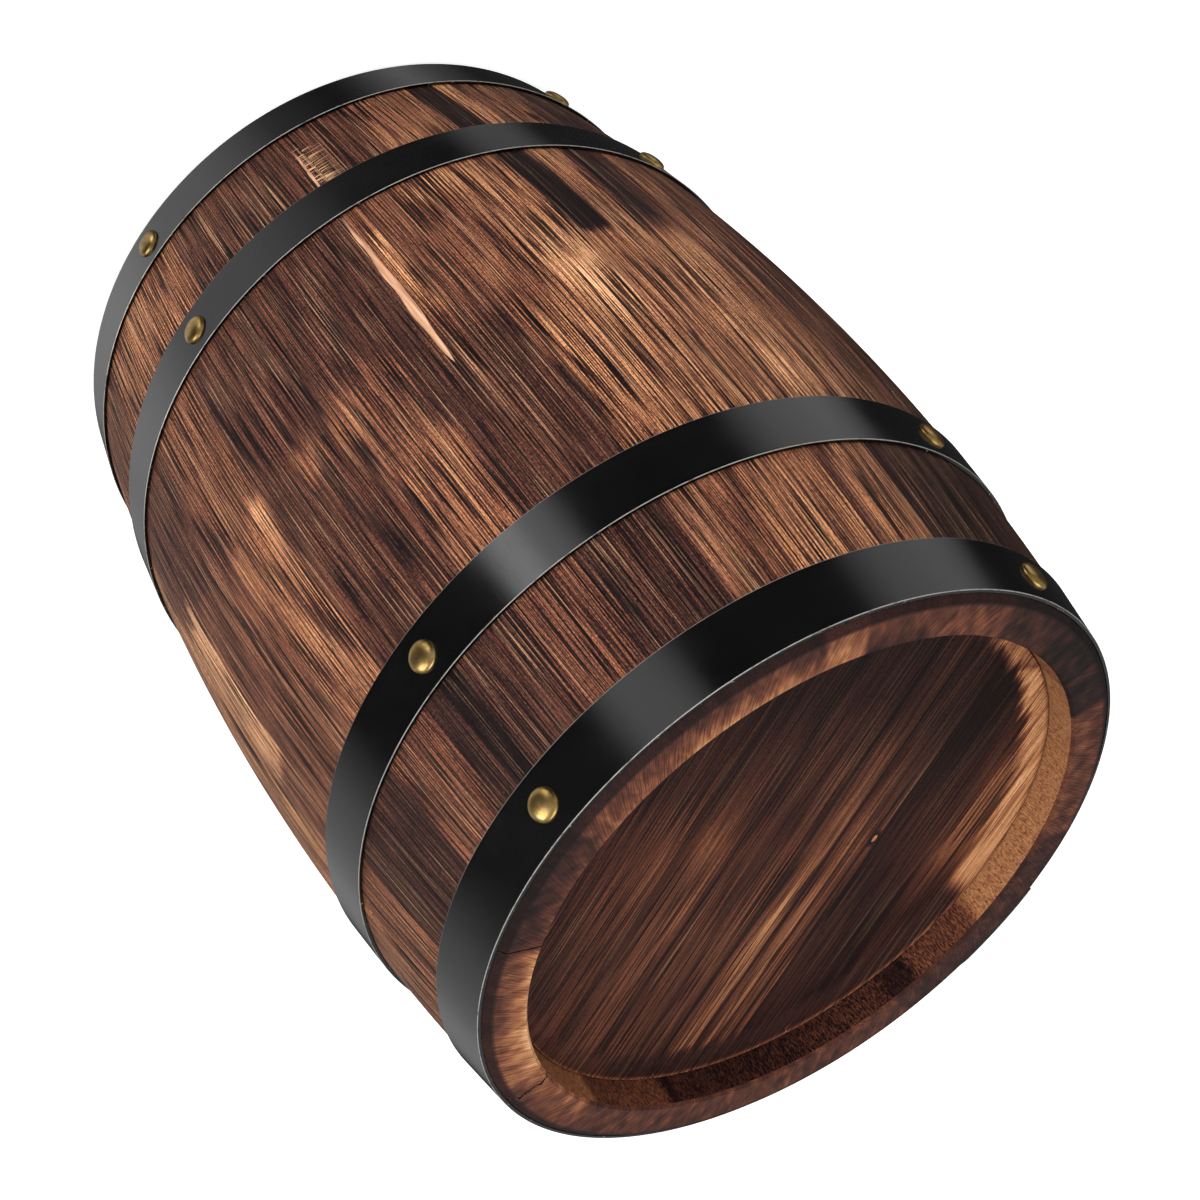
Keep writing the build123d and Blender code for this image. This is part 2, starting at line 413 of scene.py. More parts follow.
def addTornFibres(material):  # pale fibres pulled out across the grain, beside the splits
    tree = material.node_tree
    shader = tree.nodes["Principled BSDF"]
    fibre = noiseField(alongStave(tree), (50.0, 50.0, 1900.0), 2.0)
    torn = fieldNode(tree, "torn", "Fac")
    pulled = plus(fibre, remap(torn, 0.0, 1.0, -0.22, 0.0))
    reach = remap(torn, 0.0, 0.7, 0.0, 0.85)
    pulled = times(remap(pulled, 0.49, 0.58), reach)
    colour = shader.inputs["Base Color"].links[0].from_socket
    plug(mixTint(pulled, colour, tint("c79a72")), shader.inputs["Base Color"])


addTornFibres(staveFace)
print("stave finishes ready")


# bare wood: features per metre, detail, colours, roughness, strength and distance of the bump
bareWoods = {
    "freshSplit": {  # inside the open splits
        "stretch": (900.0, 900.0, 30.0),
        "detail": 2.0,
        "tints": [(0.3, "93684a"), (0.5, "b68b6c"), (0.7, "cda789")],
        "rough": (0.8, 0.6),
        "bump": (0.5, 0.0004),
    },
    "boredWood": {  # inside the bung hole and the tap hole
        "stretch": (500.0, 500.0, 60.0),
        "detail": 3.0,
        "tints": [(0.3, "4a2c1c"), (0.7, "9a6a42")],
        "rough": (0.85, 0.65),
        "bump": (0.4, 0.0005),
    },
    "dowelWood": {
        "stretch": (300.0, 300.0, 300.0),
        "detail": 3.0,
        "tints": [(0.3, "a5825a"), (0.7, "d0b184")],
        "rough": (0.75, 0.6),
        "bump": (0.2, 0.0003),
    },
}


def makeBareWood(name):
    wood = bareWoods[name]
    material, tree, shader = newMaterial(name)
    fibre = noiseField(objectCoord(tree), wood["stretch"], wood["detail"])
    colour = ramp(fibre, [(place, tint(code)) for place, code in wood["tints"]])
    dress(shader, colour, remap(fibre, 0.2, 0.8, *wood["rough"]))
    addBump(shader, fibre, *wood["bump"])
    return material


splitWood = makeBareWood("freshSplit")
boredWood = makeBareWood("boredWood")

# staves
staveSet = {
    "firstSeam": -5.5,
    "widths": (  # degrees
        18, 18.5, 18, 15, 15.5, 21, 18.5, 18.5, 17.5, 17,
        17, 17.5, 18.5, 18, 18, 21.4, 16.1, 16.5, 20, 19.5,
    ),
    "bungStave": 6,
    "rows": 112,  # along the outside
    "innerRows": 20,
    "rimRows": 9,
    "column": 0.36,  # degrees
    "seamBevel": 0.00035,
    "ridges": {"lift": 0.00009, "across": 380, "along": 10},  # metres, features per metre
    "hollows": {"lift": 0.00012, "across": 60, "along": 4, "sink": 0.8},
    "skin": 0.0006,  # how deep the brushed face reaches, in metres
    "stain": 0.003,  # how deep the colours of the strips reach
    "bareTone": 0.1,
    "baseTone": 0.36,
    "stripSoft": (0.6, 0.004),  # degrees round the barrel, metres along it
    "cloudSoft": (5.0, 0.026),
    "softest": 0.8,  # of the size of a mark
    "ragged": {"reach": 0.01, "rates": (0.9, 20), "turn": 150},  # metres, per degree and metre, degrees
    "woodShift": (0.7, 0.37),  # each stave is other wood
    "smooth": 32,
    "seed": 4,
}
# glued strips with crisp edges on the outside: from angle, to angle, from height, to height, tone
staveStrips = [
    (-180, -158, 0.0, 0.33, 0.22), (-158, -148, 0.08, 0.24, 0.3), (-148, -141, 0.08, 0.24, 0.38),
    (-141, -133, 0.08, 0.24, 0.48), (-133, -124.3, 0.139, 0.24, 0.43), (-134, -129.5, 0.08, 0.139, 0.46),
    (-124.3, -113, 0.08, 0.24, 0.44), (-113, -106, 0.08, 0.24, 0.36), (-106, -97, 0.08, 0.24, 0.34),
    (-97, -90, 0.08, 0.24, 0.24), (-90, -79, 0.08, 0.24, 0.34), (-79, -62, 0.08, 0.24, 0.26),
    (-61.5, -51, 0.152, 0.24, 0.43), (-61.5, -53, 0.08, 0.152, 0.37), (-50.5, -35, 0.08, 0.24, 0.33),
    (-35, -27, 0.205, 0.24, 0.36), (-34.3, -27.3, 0.1, 0.205, 0.58), (-27, -6, 0.08, 0.24, 0.47),
    (-170, -139.5, 0.245, 0.33, 0.16), (-139.5, -116, 0.245, 0.33, 0.42),
    (-116, -106, 0.245, 0.33, 0.36), (-131.5, -129.8, 0.245, 0.33, 0.3),
    (-106, -93, 0.245, 0.33, 0.22), (-93, -80.5, 0.245, 0.33, 0.31), (-80.5, -70.5, 0.245, 0.33, 0.22),
    (-70.5, -66.5, 0.245, 0.33, 0.05), (-66.5, -63, 0.245, 0.33, 0.17), (-63, -52, 0.245, 0.33, 0.32),
    (-52, -35, 0.245, 0.33, 0.18), (-34, -27, 0.245, 0.33, 0.36), (-27, -6, 0.245, 0.33, 0.4),
    (-170, -141, 0.0, 0.072, 0.2), (-141, -131, 0.0, 0.072, 0.36), (-131, -126, 0.0, 0.072, 0.48),
    (-122, -110, 0.0, 0.072, 0.4), (-110, -97, 0.0, 0.072, 0.27), (-97, -72, 0.0, 0.072, 0.26),
    (-72, -45, 0.0, 0.072, 0.4), (-45, -27, 0.0, 0.072, 0.33), (-27, -6, 0.0, 0.072, 0.36),
]
# strips on the side that the photo hides, drawn at random
hiddenSet = {
    "side": (-6, 190),  # degrees
    "sway": 2,
    "overlap": 1,
    "joint": (0.06, 0.26),
    "patch": (0.07, 0.03),  # below and above the joint
    "ends": (-0.01, 0.33),
    "tones": (0.2, 0.26, 0.32, 0.38, 0.44, 0.5),
}
# one strip burnt black, leaning with the taper of its stave
charredStrip = {"angles": (-129.6, -124.6), "top": 0.1395, "lean": 24.0, "soft": (0.9, 0.005), "tone": 0.05}
# cloudy patches of char or of paler wood: from angle, to angle, from height, to height, tone
staveClouds = [
    (-141.5, -134.5, 0.075, 0.14, 0.14), (-123.5, -116, 0.143, 0.18, 0.6), (-116, -107, 0.165, 0.235, 0.46),
    (-107, -98, 0.165, 0.24, 0.24), (-115, -106, 0.083, 0.098, 0.52),
    (-92, -80, 0.08, 0.15, 0.25), (-90, -80, 0.19, 0.25, 0.4),
    (-81, -77, 0.153, 0.172, 0.42), (-74, -69, 0.153, 0.17, 0.38), (-79, -62, 0.17, 0.2, 0.26),
    (-62, -58.5, 0.149, 0.159, 0.5), (-48, -36, 0.08, 0.14, 0.26), (-35, -27, 0.08, 0.13, 0.3),
    (-100, -97.2, 0.1, 0.15, 0.5), (-139.5, -137.5, 0.051, 0.058, 0.04), (-66, -50, 0.02, 0.06, 0.44),
]
# end grain round the rim: from angle, to angle, tone at the outer edge, tone at the inner edge
rimMarks = [
    (-180, -165, 0.12, 0.15), (-165, -150, 0.25, 0.30), (-150, -133, 0.42, 0.50),
    (-133, -120.8, 0.42, 0.22), (-120.8, -113.2, 0.6, 0.74), (-113.2, -108, 0.3, 0.7),
    (-108, -88, 0.36, 0.82), (-88, -68, 0.42, 0.60), (-68, -46, 0.20, 0.45),
    (-44, -25, 0.42, 0.85), (-25, -9, 0.55, 0.95), (-9, -6, 0.45, 0.70), (-6, 12, 0.42, 0.62),
    (12, 90, 0.36, 0.40), (90, 135, 0.25, 0.30), (135, 169, 0.38, 0.46), (169, 180, 0.15, 0.15),
]
# wall above the heads: from angle, to angle, tone
wallMarks = [
    (-10, 15, 0.72), (15, 36, 0.5), (36, 39, 0.1), (39, 70, 0.26), (70, 88, 0.34), (88, 96, 0.2),
    (96, 112, 0.48), (112, 180, 0.8), (-180, -160, 0.72),
]
rimSet = {
    "tone": 0.4,
    "soft": 2.0,  # degrees
    "bend": 1.5,
    "clouds": ((0.16, 0.45, 2.5, 5), (0.1, 1.3, 4, 8)),  # strength, per degree, across the rim, seed
    # painted shadow of the hoop on the rim, with darker charred wood at the edge: the darkest share of the
    # tone, and where and how softly it fades
    "hoopShadowAndChar": 0.34,
    "hoopShadowSoft": (0.04, 0.12),
}
wallSet = {"tone": 0.5, "soft": 4.0}
# open splits: stave, from (angle, height), to (angle, height), width, where it is widest, depth
staveSplits = [
    (16, (-96.8, 0.0708), (-96.0, 0.1735), 0.0038, 0.67, 0.0012),
    (16, (-97.8, 0.031), (-97.1, 0.068), 0.0015, 0.6, 0.0006),
]
splitSet = {
    "rows": 26,
    "taper": 0.7,  # how blunt the ends are
    "waver": 0.3,  # of the width
    "drift": 0.18,
    "rates": (9, 6, 90),  # of the wavering, the drift and the change from split to split
    "thinnest": 0.00006,
    "floor": (0.6, 1, 0.97),  # size of the floor of a split against its mouth
    "overrun": 0.002,  # how far the blade starts outside the stave
}
# torn fibres: from angle, to angle, from height, to height
tornFibres = [(-106, -97.3, 0.033, 0.068)]
tornSet = {"ragged": 2.5, "rate": 260, "soft": (0.8, 0.01)}  # degrees, per metre, degrees and metres
# seams that have opened at the rim: angle, gap, how far the crack wanders in degrees
openSeams = [(-5.5, 0.0008, 2.0), (-45, 0.0005, 0.0)]
seamSet = {
    "reach": 0.06,  # below the rim
    "spread": 2,  # degrees
    "near": 0.02,
    "rough": 0.9,  # of the gap
    "swayRates": (320, 90),  # features per metre inwards and along
    "roughRates": (500, 150),
}
bungHole = {"radii": (0.0130, 0.0140), "start": 0.1145, "reach": 0.019, "overrun": 0.004}


def staveSection():
    top, half = barrel["length"], barrel["length"] / 2
    rimOuter = barrel["endRadius"] - barrel["rimChamfer"]
    rimInner = barrel["endRadius"] - barrel["rimThickness"]
    recess = rimInner - barrel["recessDraft"]
    croze = recess + barrel["crozeDepth"]
    lowEnd = [
        (recess, barrel["crozeEnd"]),
        (croze, barrel["crozeEnd"]),
        (croze, barrel["crozeStart"]),
        (recess, barrel["crozeStart"]),
        (rimInner - barrel["cornerLean"], barrel["cornerDrop"]),
    ]
    start = rimInner + barrel["cornerWidth"]
    count = staveSet["rimRows"]
    lowEnd += [(start + (rimOuter - start) * i / count, 0.0) for i in range(count + 1)]
    chamfer = barrel["rimChamfer"]
    count = staveSet["rows"]
    heights = [chamfer + (top - 2 * chamfer) * i / count for i in range(count + 1)]
    outside = [(staveRadius(height), height) for height in heights]
    highEnd = [(radius, top - height) for radius, height in reversed(lowEnd)]
    bow = barrel["bilgeRadius"] - barrel["bilgeThickness"] - recess
    reach = half - barrel["crozeEnd"]
    count = staveSet["innerRows"]
    steps = [reach - 2 * reach * i / count for i in range(1, count)]
    inside = [(recess + bow * (1 - (step / reach) ** 2), half + step) for step in steps]
    return drawSection("staveSection", lowEnd + outside + highEnd + inside)


def makeSplit(start, end, width, widest, depth):  # blade between two (angle, height) points
    rows = splitSet["rows"]
    fast = splitSet["taper"]
    slow = fast * widest / (1 - widest)
    peak = widest**slow * (1 - widest) ** fast
    waverRate, driftRate, seedRate = splitSet["rates"]
    seed = start[1] * seedRate
    reach = radians(end[0] - start[0]) * staveRadius((start[1] + end[1]) / 2)
    rise = end[1] - start[1]
    length = hypot(reach, rise)
    side = []
    for i in range(rows + 1):
        share = i / rows
        half = width / 2 * share**slow * (1 - share) ** fast / peak
        waver = 1 + splitSet["waver"] * noise.noise((share * waverRate, 0, seed))
        half = max(half * waver, splitSet["thinnest"])
        drift = splitSet["drift"] * width * noise.noise((share * driftRate, 2, seed))
        side.append((share * length, drift - half, drift + half))
    outline = [(low, along) for along, low, high in side]
    outline += [(high, along) for along, low, high in reversed(side[1:-1])]
    blade = drawSection("splitBlade", outline)
    mouth = splitSet["overrun"]
    editAll(blade)
    bpy.ops.mesh.extrude_region_move(TRANSFORM_OT_translate={"value": (0, depth + mouth, 0)})
    bpy.ops.transform.resize(value=splitSet["floor"])
    bpy.ops.mesh.select_all(action="SELECT")
    bpy.ops.mesh.quads_convert_to_tris()  # flat faces cut cleanly once it is wrapped
    leaveEdit()
    for vertex in blade.data.vertices:  # wraps the blade on the bulge, its mouth just outside the stave
        across, inwards, along = vertex.co
        height = start[1] + (along * rise - across * reach) / length
        arc = (along * reach + across * rise) / length
        turn = radians(start[0]) + arc / staveRadius(height)
        radius = staveRadius(height) + mouth - inwards
        vertex.co = (radius * cos(turn), radius * sin(turn), height)
    tidyNormals(blade)
    blade.data.materials.append(splitWood)
    return blade


def makeBore(place, axis, radii, reach):  # tapered cutter along an axis, wide end outwards
    bore = drawSection("bore", [(0, 0), (radii[0], 0), (radii[1], reach), (0, reach)], filled=False)
    spinSection(bore, 0, 360, roundSteps)
    turn = Vector((0, 0, 1)).rotation_difference(axis).to_matrix().to_4x4()
    bore.data.transform(Matrix.Translation(place) @ turn)
    tidyNormals(bore)
    bore.data.materials.append(boredWood)
    return bore


def markTone(strips, clouds, angle, height):
    tone = staveSet["baseTone"]
    ragged = staveSet["ragged"]
    roundRate, alongRate = ragged["rates"]
    shift = ragged["reach"] * noise.noise((angle * roundRate, height * alongRate, 3))
    for marks, (softAngle, softHeight), stray in (
        (strips, staveSet["stripSoft"], 0.0),
        (clouds, staveSet["cloudSoft"], shift),
    ):
        for fromAngle, toAngle, fromHeight, toHeight, value in marks:  # none softer than those before
            softAngle = min(softAngle, (toAngle - fromAngle) * staveSet["softest"])
            softHeight = min(softHeight, (toHeight - fromHeight) * staveSet["softest"])
            weight = fade(angle + stray * ragged["turn"], fromAngle, toAngle, softAngle)
            if weight > 0:
                weight *= fade(height + stray, fromHeight, toHeight, softHeight)
                tone += (value - tone) * weight
    lean = (charredStrip["top"] - height) * charredStrip["lean"]
    weight = fade(angle - lean, *charredStrip["angles"], charredStrip["soft"][0])
    weight *= fade(height, -1, charredStrip["top"], charredStrip["soft"][1])
    return tone + (charredStrip["tone"] - tone) * weight


def ringTone(marks, angle, pick, default, soft):
    tone = default
    for mark in marks:
        tone += (mark[pick] - tone) * fade(angle, mark[0], mark[1], min(soft, mark[1] - mark[0]))
    return tone


def brushedLift(number, arc, height):  # fine ridges and shallow hollows
    ridges, hollows = staveSet["ridges"], staveSet["hollows"]
    ridge = noise.noise((arc * ridges["across"], number, height * ridges["along"]))
    hollow = noise.noise((arc * hollows["across"], number + 9, height * hollows["along"]))
    return ridges["lift"] * ridge + hollows["lift"] * (hollow - hollows["sink"])


def seamTurn(angle, low, high, radius, height):  # how far an opened seam turns a point, in degrees
    turn = 0.0
    above = height - barrel["length"] + seamSet["reach"]
    if min(angle - low, high - angle) < seamSet["spread"] and above > 0:
        share = above / seamSet["reach"]
        for seam, gap, wander in openSeams:
            apart = abs((angle - seam + 180) % 360 - 180)
            inwards, along = seamSet["swayRates"]
            sway = noise.noise((radius * inwards, seam, height * along))
            turn += max(1 - apart / seamSet["spread"], 0) * wander * share * sway
            if apart < seamSet["near"]:
                inwards, along = seamSet["roughRates"]
                rough = 1 + seamSet["rough"] * noise.noise((radius * inwards, seam, height * along))
                side = 1 if angle - low < seamSet["near"] else -1
                turn += degrees(gap / 2 / radius) * share * rough * side
    return turn


def tornPull(angle, height):
    pull = 0.0
    softAngle, softHeight = tornSet["soft"]
    for fromAngle, toAngle, fromHeight, toHeight in tornFibres:
        ragged = tornSet["ragged"] * noise.noise((height * tornSet["rate"], 4, 6))
        reach = min(max((angle - fromAngle + ragged) / (toAngle - fromAngle), 0), 1)
        pull += (
            reach * fade(angle, -360, toAngle, softAngle) * fade(height, fromHeight, toHeight, softHeight)
        )
    return pull


def rimShade(angle, plain, radius):  # end grain, darkened along the hoop: painted shadow of the hoop, together with darker charred wood at the edge
    rimOuter = barrel["endRadius"] - barrel["rimChamfer"]
    rimInner = barrel["endRadius"] - barrel["rimThickness"]
    share = min(max((rimOuter - radius) / (rimOuter - rimInner), 0), 1)
    outer, inner = (ringTone(rimMarks, plain, pick, rimSet["tone"], rimSet["soft"]) for pick in (2, 3))
    shade = outer + (inner - outer) * share ** rimSet["bend"]
    shade += sum(
        strength * noise.noise((angle * roundRate, share * acrossRate, seed))
        for strength, roundRate, acrossRate, seed in rimSet["clouds"]
    )
    # the outer edge of the rim is darkened: painted shadow of the hoop, together with darker charred wood
    start, soft = rimSet["hoopShadowSoft"]
    return shade * (rimSet["hoopShadowAndChar"] + (1 - rimSet["hoopShadowAndChar"]) * fade(share, start, 2, soft))


def finishStave(stave, number, low, high, strips):
    mesh = stave.data
    middle = (low + high) / 2
    top = barrel["length"]
    chamfer = barrel["rimChamfer"]
    aside, above = staveSet["woodShift"]
    grain, tone, torn, rimTone, wallTone = [], [], [], [], []
    for vertex in mesh.vertices:
        x, y, height = vertex.co
        radius = hypot(x, y)
        angle = middle + (degrees(atan2(y, x)) - middle + 180) % 360 - 180
        depth = staveRadius(height) - radius
        arc = radians(angle) * barrel["bilgeRadius"]
        if depth < staveSet["skin"] and chamfer * 0.9 < height < top - chamfer * 0.9:
            radius += brushedLift(number, arc, height)
        turned = radians(angle + seamTurn(angle, low, high, radius, height))
        vertex.co.x = radius * cos(turned)
        vertex.co.y = radius * sin(turned)
        plain = (angle + 180) % 360 - 180
        grain += [arc + number * aside, depth, height + number * above]
        stained = depth < staveSet["stain"]
        tone.append(markTone(strips, staveClouds, plain, height) if stained else staveSet["bareTone"])
        torn.append(tornPull(plain, height))
        rimTone.append(rimShade(angle, plain, radius))
        wallTone.append(ringTone(wallMarks, plain, 2, wallSet["tone"], wallSet["soft"]))
    setField(mesh, "grain", "FLOAT_VECTOR", grain)
    for name, values in (("tone", tone), ("torn", torn), ("rimTone", rimTone), ("wallTone", wallTone)):
        setField(mesh, name, "FLOAT", values)
    mesh.update()
    for face in mesh.polygons:  # end grain on the rim, its own finish on the wall above a head
        if face.material_index > 2:  # cut by a blade or a bore
            continue
        fromEnd = min(face.center.z, top - face.center.z)
        inwards = face.normal.x * face.center.x + face.normal.y * face.center.y < 0
        if abs(face.normal.z) > 0.5 and fromEnd < chamfer:
            face.material_index = 1
        elif inwards and fromEnd < barrel["crozeStart"]:
            face.material_index = 2


def hiddenStrips(draw, low, high):
    sway = hiddenSet["sway"]
    middle = (low + high) / 2 + draw.uniform(-sway, sway)
    joint = draw.uniform(*hiddenSet["joint"])
    tones = [draw.choice(hiddenSet["tones"]) for i in range(4)]
    bottom, top = hiddenSet["ends"]
    below, above = hiddenSet["patch"]
    low -= hiddenSet["overlap"]
    high += hiddenSet["overlap"]
    return [
        (low, middle, bottom, joint, tones[0]),
        (low, middle, joint, top, tones[1]),
        (middle, high, bottom, top, tones[2]),
        (middle, high, joint - below, joint + above, tones[3]),
    ]


def makeStaves():
    section = staveSection()
    draw = random.Random(staveSet["seed"])
    low = staveSet["firstSeam"]
    for number, width in enumerate(staveSet["widths"], start=1):
        high = low + width
        isBung = number == staveSet["bungStave"]
        node = "bung_stave" if isBung else f"stave_{number:02d}"
        stave = copyPiece(section, "wood_" + node)
        spinSection(stave, low, width, round(width / staveSet["column"]))
        tidyNormals(stave, merge=False)
        ends = (low, high)

        def onSeam(first, second):
            for seam in ends:
                away = [degrees(atan2(p.y, p.x)) - seam for p in (first, second)]
                turned = [abs((angle + 180) % 360 - 180) < 0.01 for angle in away]
                outside = [staveRadius(p.z) - p.xy.length < 0.00001 for p in (first, second)]
                if all(turned) and all(outside):
                    return True
            return False

        bevelEdges(stave, onSeam, staveSet["seamBevel"], 2)
        for finish in (staveFace, staveEnd, chimeWall):
            stave.data.materials.append(finish)
        for owner, *split in staveSplits:
            if owner == number:
                cutAway(stave, makeSplit(*split))
        if isBung:
            over = bungHole["overrun"]
            place = Vector((0, bungHole["start"] - over, barrel["length"] / 2))
            bore = makeBore(place, Vector((0, 1, 0)), bungHole["radii"], bungHole["reach"] + 2 * over)
            cutAway(stave, bore)
        strips = [mark for mark in staveStrips if low - 361 < mark[1] and mark[0] < high + 1]
        if low > hiddenSet["side"][0] and high < hiddenSet["side"][1]:
            strips += hiddenStrips(draw, low, high)
        finishStave(stave, number, low, high, strips)
        smoothPiece(stave, staveSet["smooth"])
        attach(stave, "barrel")
        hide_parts(node)
        low = high
    bpy.data.objects.remove(section)


makeStaves()
print("staves done")

# heads
headSet = {
    "recess": 0.016,
    "thickness": 0.014,
    "radius": 0.0984,
    "tongueRadius": 0.1024,
    "tongueStart": 0.0192,
    "tongueEnd": 0.0268,
    "tongueBevel": 0.0012,
    "coveWidth": 0.008,
    "lipHeight": 0.0045,
    "flatRows": 15,
    "coveRows": 8,
    "steps": 240,
    "grainAngle": 32,
    "joints": (-0.0491, 0.0047, 0.05655),  # across the grain, from the axis
    "jointBevel": 0.0003,
    "jointDepth": 0.0005,  # bevelled no further down than this
    "jointSlack": 0.000005,
    "tapHole": (0, -0.075),
    "tapRadius": 0.0095,
    "tapStart": 0.005,
    "tapReach": 0.04,
    "ringLean": 1.6,  # how far the growth rings lean over in the thickness of a board
    "tornEdge": 0.004,  # how far the colour of the cove runs into the flat
    "lipTone": 0.4,
    "lipSoft": 6.0,  # degrees
    # painted highlight: a thin lighter line along the very edge of the lip, its width and its tone
    "lipHighlightWidth": 0.0006,
    "lipHighlightTone": 0.62,
}
# tone across the grain of a head, from the axis in metres
headBands = [
    (-0.100, 0.22), (-0.066, 0.27), (-0.054, 0.36), (-0.048, 0.40), (-0.0455, 0.24), (-0.042, 0.32),
    (-0.037, 0.44), (-0.031, 0.50), (-0.026, 0.43), (-0.0225, 0.28), (-0.020, 0.38), (-0.012, 0.42),
    (-0.0065, 0.33), (-0.002, 0.38), (0.003, 0.46), (0.0062, 0.28), (0.0085, 0.42), (0.013, 0.58),
    (0.0185, 0.66), (0.0215, 0.36), (0.0235, 0.46), (0.028, 0.58), (0.0305, 0.36), (0.033, 0.52),
    (0.036, 0.30), (0.039, 0.46), (0.0415, 0.20), (0.052, 0.20), (0.062, 0.21), (0.0715, 0.28),
    (0.079, 0.46), (0.100, 0.30),
]
# thin dark lines along the grain of a head: from the axis in metres, how dark
headLines = [
    (-0.046, 0.25), (-0.0225, 0.45), (0.0072, 0.55), (0.0208, 0.6), (0.03, 0.4), (0.0362, 0.45),
    (0.0408, 0.6), (0.0725, 0.3), (0.085, 0.6),
]
headKnot = {"along": -0.0062, "across": 0.0381, "radius": 0.0012, "squeeze": 0.6, "tone": 0.66}
# lip and cove of a head: from angle, to angle, tone
lipMarks = [(-12, 20, 0.34), (20, 114, 0.22), (114, 180, 0.82), (-180, -165, 0.7), (-165, -12, 0.3)]


def headAxes(tree):  # along the grain, across it and up
    values = (objectCoord(tree), (0, 0, radians(headSet["grainAngle"])))
    turned = addNode("Mapping", values, ("Vector", "Rotation"), vector_type="TEXTURE")
    return splitAxes(turned.outputs[0])


def acrossRings(across, height):
    rise = minus(height, barrel["length"] - headSet["recess"])
    return plus(across, times(rise, headSet["ringLean"]))


def alongHead(tree):
    along, across, height = headAxes(tree)
    return joinAxes(acrossRings(across, height), 0.0, along)


def bandTone(across):
    first, last = headBands[0][0], headBands[-1][0]
    stops = [((at - first) / (last - first), (value, value, value, 1)) for at, value in headBands]
    band = ramp(remap(across, first, last), stops)
    for at, depth in headLines:
        apart = mathNode("ABSOLUTE", minus(across, at))
        band = times(band, remap(apart, 0.0003, 0.0011, 1 - depth, 1.0))
    return band


def headChar(along, across, cloud):  # charred at one end, and in one corner
    drift = plus(along, remap(cloud, 0.3, 0.7, -0.012, 0.012))
    burnt = remap(drift, -0.056, -0.006, 0.4, 1.0)
    burnt = times(burnt, remap(drift, 0.035, 0.09, 1.0, 0.88))
    corner = remap(drift, 0.005, 0.03, 1.0, 0.5)
    aside = remap(across, 0.052, 0.066)
    return plus(burnt, times(aside, minus(corner, burnt)))


def addKnot(band, along, across):
    aside = minus(across, headKnot["across"])
    beside = times(minus(along, headKnot["along"]), headKnot["squeeze"])
    apart = mathNode("SQRT", plus(times(aside, aside), times(beside, beside)))
    radius = headKnot["radius"]
    band = times(band, remap(apart, radius, radius * 2.2, 0.3, 1.0))  # dark round it
    return mathNode("MAXIMUM", band, remap(apart, radius * 0.7, radius, headKnot["tone"], 0.0))


def headTone(tree):
    along, across, height = headAxes(tree)
    sway = noiseField(joinAxes(along, across, height), (9.0, 30.0, 5.0))
    across = plus(across, remap(sway, 0.2, 0.8, -0.0009, 0.0009))
    cloud = noiseField(joinAxes(along, across, height), (14.0, 26.0, 5.0))
    band = times(bandTone(across), remap(cloud, 0.3, 0.7, 0.82, 1.22))
    band = times(band, headChar(along, across, cloud))
    band = addKnot(band, along, across)
    fibres = joinAxes(along, acrossRings(across, height), 0.0)
    torn = noiseField(fibres, (22.0, 300.0, 2.0), 3.0)
    cove = plus(fieldNode(tree, "coveMask", "Fac"), remap(torn, 0.25, 0.75, -0.3, 0.3))
    cove = remap(cove, 0.35, 0.65)
    # the cove takes the tones of the lip, with the painted highlight along its edge
    lip = fieldNode(tree, "coveToneAndLipHighlight", "Fac")
    return plus(times(band, minus(1.0, cove)), times(lip, cove))


def headContrast(tree):  # the turned cove is smoother
    return remap(fieldNode(tree, "coveMask", "Fac"), 0.2, 0.7, 0.52, 0.3)


def headSection():
    top = barrel["length"]
    flat = top - headSet["recess"]
    coveStart = headSet["radius"] - headSet["coveWidth"]
    rise = headSet["lipHeight"]
    coveRadius = (headSet["coveWidth"] ** 2 + rise**2) / (2 * rise)
    sweep = asin(headSet["coveWidth"] / coveRadius)
    rows = headSet["flatRows"]
    points = [(coveStart * i / rows, flat) for i in range(rows + 1)]
    rows = headSet["coveRows"]
    for i in range(1, rows + 1):
        turn = sweep * i / rows
        points.append((coveStart + coveRadius * sin(turn), flat + coveRadius * (1 - cos(turn))))
    bevel = headSet["tongueBevel"]
    points += [
        (headSet["radius"], top - headSet["tongueStart"]),
        (headSet["tongueRadius"], top - headSet["tongueStart"] - bevel),
        (headSet["tongueRadius"], top - headSet["tongueEnd"] + bevel),
        (headSet["radius"], top - headSet["tongueEnd"]),
        (headSet["radius"], flat - headSet["thickness"]),
        (0, flat - headSet["thickness"]),
    ]
    return drawSection("headDisc", points, filled=False)


